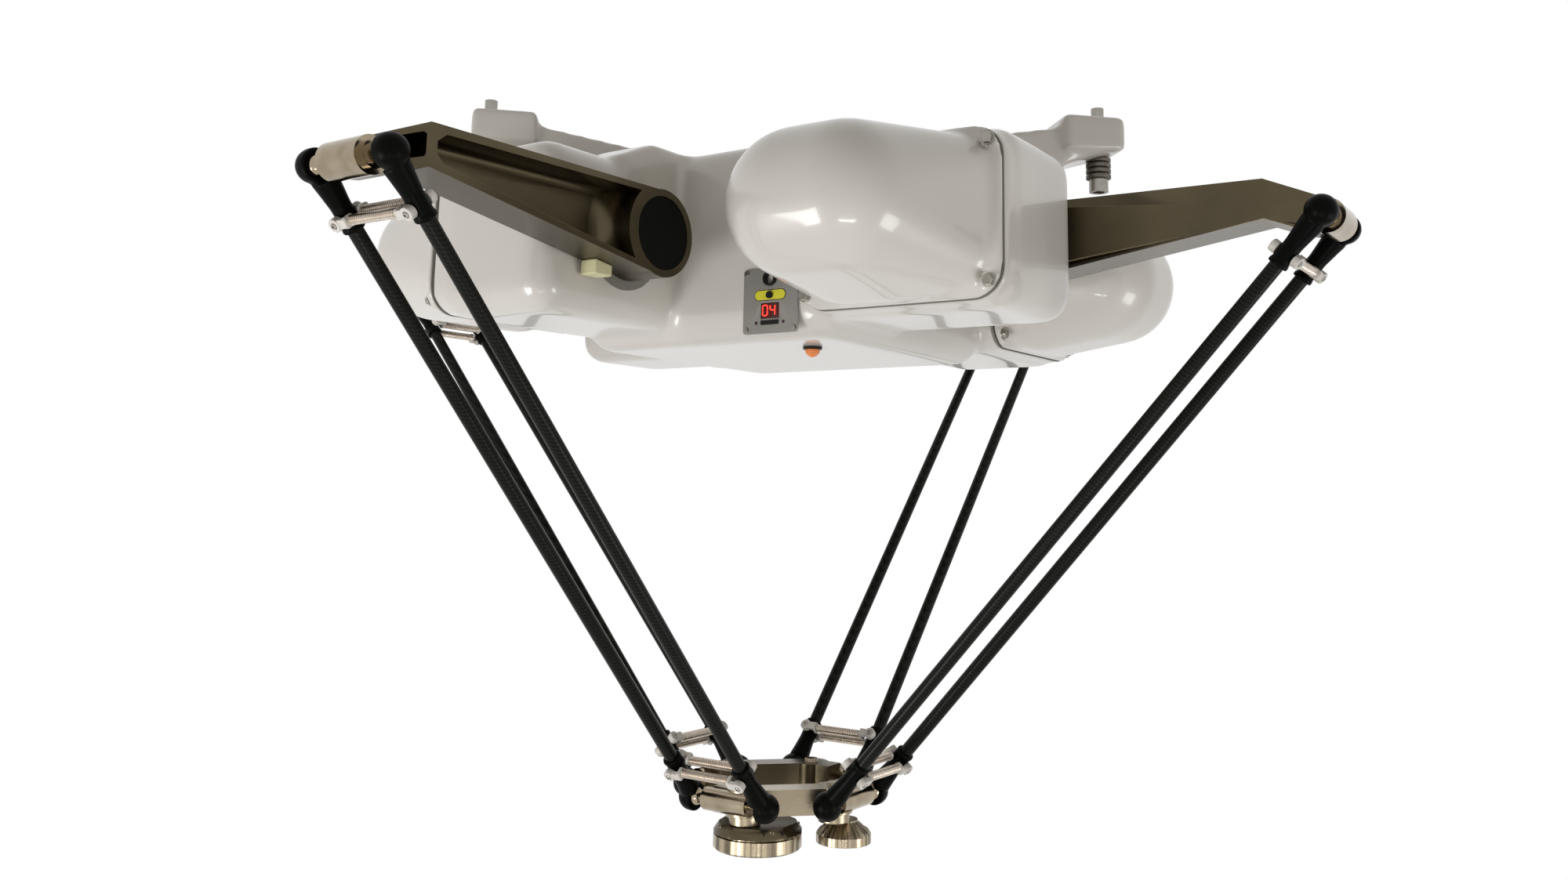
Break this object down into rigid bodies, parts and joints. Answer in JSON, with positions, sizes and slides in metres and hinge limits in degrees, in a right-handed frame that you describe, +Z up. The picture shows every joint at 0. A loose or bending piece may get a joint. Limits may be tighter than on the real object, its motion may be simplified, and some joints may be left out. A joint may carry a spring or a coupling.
{
  "type": "delta robot",
  "caption": "Overhead parallel picking robot: cast base with domed motor covers, inner arms, carbon rod pairs and a pivoting tool platform.",
  "frame": {"origin": "centre of the mounting pads' common top plane, on the robot's vertical axis", "axes": "+Z up; +X along inner arm 1, +Y along inner arm 2"},
  "size_m": [1.334, 1.334, 0.8875],
  "materials": {
    "white_paint": "gloss off-white paint",
    "lid_grey": "dark grey",
    "gasket_rubber": "matt",
    "stainless": "machined",
    "gear_steel": "ground",
    "motor_black": "satin black",
    "bolt_steel": "satin",
    "spring_disc_steel": "phosphated",
    "panel_grey": "satin anodised",
    "display_red": "smoked red window",
    "black_plastic": "satin black",
    "amber_lens": "amber",
    "nickel_bronze": "satin nickel, warm",
    "cap_black": "matt black",
    "bar_nickel": "ground nickel",
    "cream_nylon": "cast nylon",
    "carbon": "lacquered carbon weave",
    "moulded_black": "moulded, semi-gloss",
    "spring_wire": "drawn wire",
    "white_nylon": "moulded nylon",
    "ball_chrome": "polished",
    "platform_nickel": "electroless nickel"
  },
  "bodies": {
    "base": {"base_casting": "white_paint", "top_lid": "lid_grey", "motor_cover_1": "white_paint", "motor_cover_2": "white_paint", "motor_cover_3": "white_paint", "motor_cover_4": "white_paint", "cover_gaskets": "gasket_rubber", "base_fasteners": "stainless", "gear_units": "gear_steel", "motors": "motor_black", "mount_bolts": "bolt_steel", "disc_springs": "spring_disc_steel", "status_panel": "panel_grey", "display": "display_red", "service_port": "black_plastic", "lamp_bezel": "black_plastic", "lamp_lens": "amber_lens"},
    "release_button": {"brake_button": "black_plastic"},
    "arm_1": {"inner_arm_1": "nickel_bronze", "hub_cap_1": "cap_black", "ball_bar_1": "bar_nickel", "arm_bumper_1": "cream_nylon"},
    "rods_1": {"rod_tubes_1": "carbon", "rod_ends_1": "moulded_black", "rod_springs_1": "spring_wire", "spring_links_1": "white_nylon", "ball_studs_1": "ball_chrome"},
    "arm_2": {"inner_arm_2": "nickel_bronze", "hub_cap_2": "cap_black", "ball_bar_2": "bar_nickel", "arm_bumper_2": "cream_nylon"},
    "rods_2": {"rod_tubes_2": "carbon", "rod_ends_2": "moulded_black", "rod_springs_2": "spring_wire", "spring_links_2": "white_nylon", "ball_studs_2": "ball_chrome"},
    "arm_3": {"inner_arm_3": "nickel_bronze", "hub_cap_3": "cap_black", "ball_bar_3": "bar_nickel", "arm_bumper_3": "cream_nylon"},
    "rods_3": {"rod_tubes_3": "carbon", "rod_ends_3": "moulded_black", "rod_springs_3": "spring_wire", "spring_links_3": "white_nylon", "ball_studs_3": "ball_chrome"},
    "arm_4": {"inner_arm_4": "nickel_bronze", "hub_cap_4": "cap_black", "ball_bar_4": "bar_nickel", "arm_bumper_4": "cream_nylon"},
    "rods_4": {"rod_tubes_4": "carbon", "rod_ends_4": "moulded_black", "rod_springs_4": "spring_wire", "spring_links_4": "white_nylon", "ball_studs_4": "ball_chrome"},
    "platform": {"front_bar": "platform_nickel", "rear_bar": "platform_nickel", "side_links": "platform_nickel", "platform_ball_bars": "platform_nickel"},
    "disc": {"drive_disc": "platform_nickel"},
    "flange": {"tool_flange": "platform_nickel"}
  },
  "joints": [
    {"name": "brake_release_press", "type": "slide", "parent": "base", "child": "release_button", "axis": [-1, 0, 0], "range_m": [0, 0.002], "stiffness_N_per_m": 600},
    {"name": "arm_1_swing", "type": "hinge", "parent": "base", "child": "arm_1", "pos_m": [0.275, 0, -0.2], "axis": [0, 1, 0], "range_deg": [0, 30]},
    {"name": "elbow_1", "type": "hinge", "parent": "arm_1", "child": "rods_1", "pos_m": [0.65, 0, -0.2], "axis": [0, 1, 0], "range_deg": [-36, 0]},
    {"name": "arm_2_swing", "type": "hinge", "parent": "base", "child": "arm_2", "pos_m": [0, 0.275, -0.2], "axis": [-1, 0, 0], "range_deg": [0, 31]},
    {"name": "elbow_2", "type": "hinge", "parent": "arm_2", "child": "rods_2", "pos_m": [0, 0.65, -0.2], "axis": [-1, 0, 0], "range_deg": [-36, 0]},
    {"name": "arm_3_swing", "type": "hinge", "parent": "base", "child": "arm_3", "pos_m": [-0.275, 0, -0.2], "axis": [0, -1, 0], "range_deg": [0, 31]},
    {"name": "elbow_3", "type": "hinge", "parent": "arm_3", "child": "rods_3", "pos_m": [-0.65, 0, -0.2], "axis": [0, -1, 0], "range_deg": [-36, 0]},
    {"name": "arm_4_swing", "type": "hinge", "parent": "base", "child": "arm_4", "pos_m": [0, -0.275, -0.2], "axis": [1, 0, 0], "range_deg": [0, 31]},
    {"name": "elbow_4", "type": "hinge", "parent": "arm_4", "child": "rods_4", "pos_m": [0, -0.65, -0.2], "axis": [1, 0, 0], "range_deg": [-36, 0]},
    {"name": "platform_stroke", "type": "slide", "parent": "base", "child": "platform", "axis": [0, 0, 1], "range_m": [-0.24, 0]},
    {"name": "platform_twist", "type": "hinge", "parent": "platform", "child": "disc", "pos_m": [0.062, 0.014, -0.84492], "axis": [0, 0, 1], "range_deg": [-46.25, 46.25]},
    {"name": "tool_turn", "type": "hinge", "parent": "platform", "child": "flange", "pos_m": [-0.006, 0.086, -0.84492], "axis": [0, 0, 1], "range_deg": [-185, 185]}
  ],
  "couplings": [
    {"joint": "elbow_1", "follows": "arm_1_swing", "ratio": -1.1509},
    {"joint": "arm_2_swing", "follows": "arm_1_swing", "ratio": 1},
    {"joint": "elbow_2", "follows": "arm_1_swing", "ratio": -1.1509},
    {"joint": "arm_3_swing", "follows": "arm_1_swing", "ratio": 1},
    {"joint": "elbow_3", "follows": "arm_1_swing", "ratio": -1.1509},
    {"joint": "arm_4_swing", "follows": "arm_1_swing", "ratio": 1},
    {"joint": "elbow_4", "follows": "arm_1_swing", "ratio": -1.1509},
    {"joint": "platform_stroke", "follows": "arm_1_swing", "m_per_rad": -0.43733},
    {"joint": "tool_turn", "follows": "platform_twist", "ratio": 4}
  ]
}
